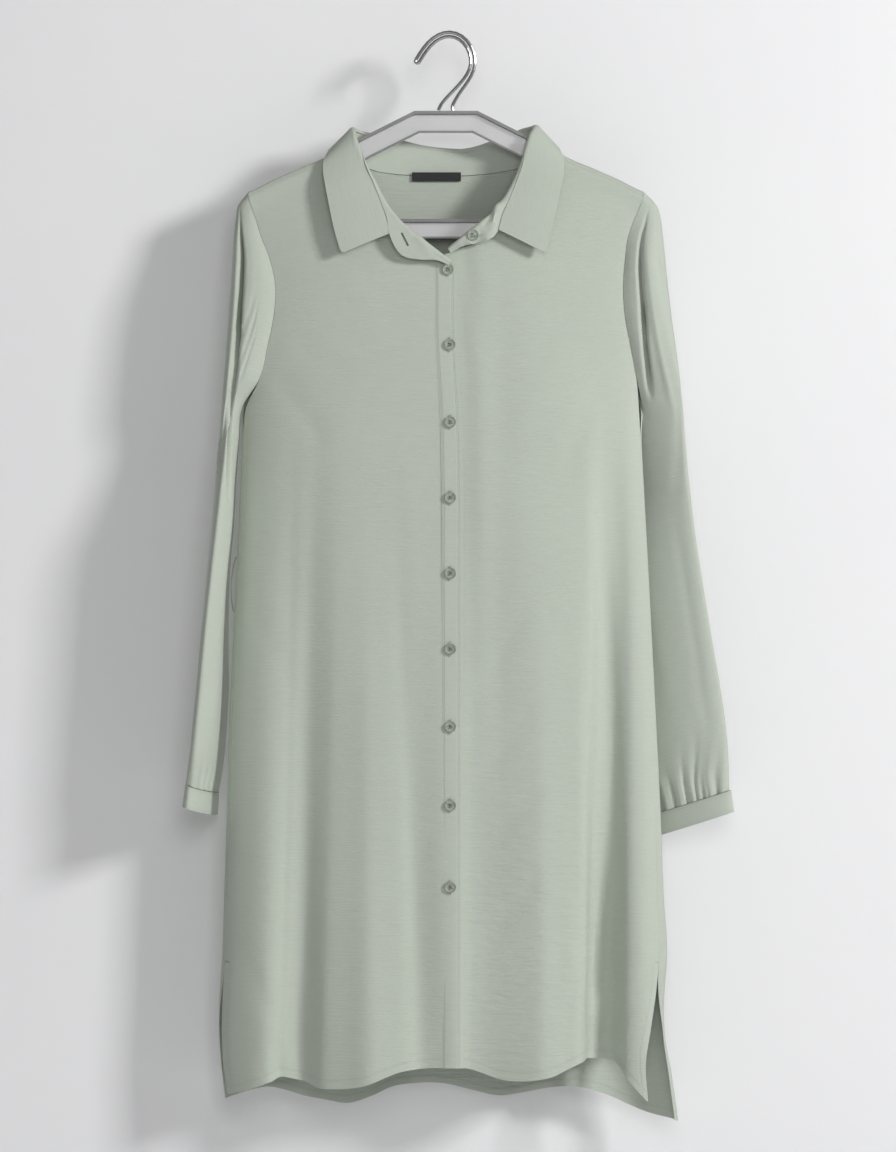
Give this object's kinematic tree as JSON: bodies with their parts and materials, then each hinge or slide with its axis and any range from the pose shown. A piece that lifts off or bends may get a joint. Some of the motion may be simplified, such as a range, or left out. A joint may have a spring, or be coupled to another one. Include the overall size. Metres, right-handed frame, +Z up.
{
  "type": "long shirt on hanger",
  "caption": "Long button-through shirt with a turned-down collar and gathered cuffs, hanging open at neck and hem on a metal hanger with a wire hook.",
  "frame": {"origin": "inner crown of the hook, where it rests on a rod or nail", "axes": "+Z up, -Y towards the front of the shirt, +X towards the wearer's left"},
  "size_m": [0.5393, 0.1154, 1.0687],
  "materials": {
    "cloth": "matt sage green crepe with fine crosswise crinkles",
    "button": "satin grey green",
    "label": "plain black tape",
    "hanger": "satin silver grey",
    "wire": "bright drawn wire"
  },
  "bodies": {
    "root": {"back_panel": "cloth", "front_right_panel": "cloth", "front_left_panel": "cloth", "placket": "cloth", "collar_stand": "cloth", "collar_leaf": "cloth", "sleeve_right": "cloth", "sleeve_left": "cloth", "cuff_right": "cloth", "cuff_left": "cloth", "belt_loop": "cloth", "button_1": "button", "button_2": "button", "button_3": "button", "button_4": "button", "button_5": "button", "button_6": "button", "button_7": "button", "button_8": "button", "button_9": "button", "collar_button": "button", "neck_label": "label", "hanger_arms": "hanger", "hanger_bar": "hanger", "hanger_hook": "wire"}
  },
  "joints": []
}
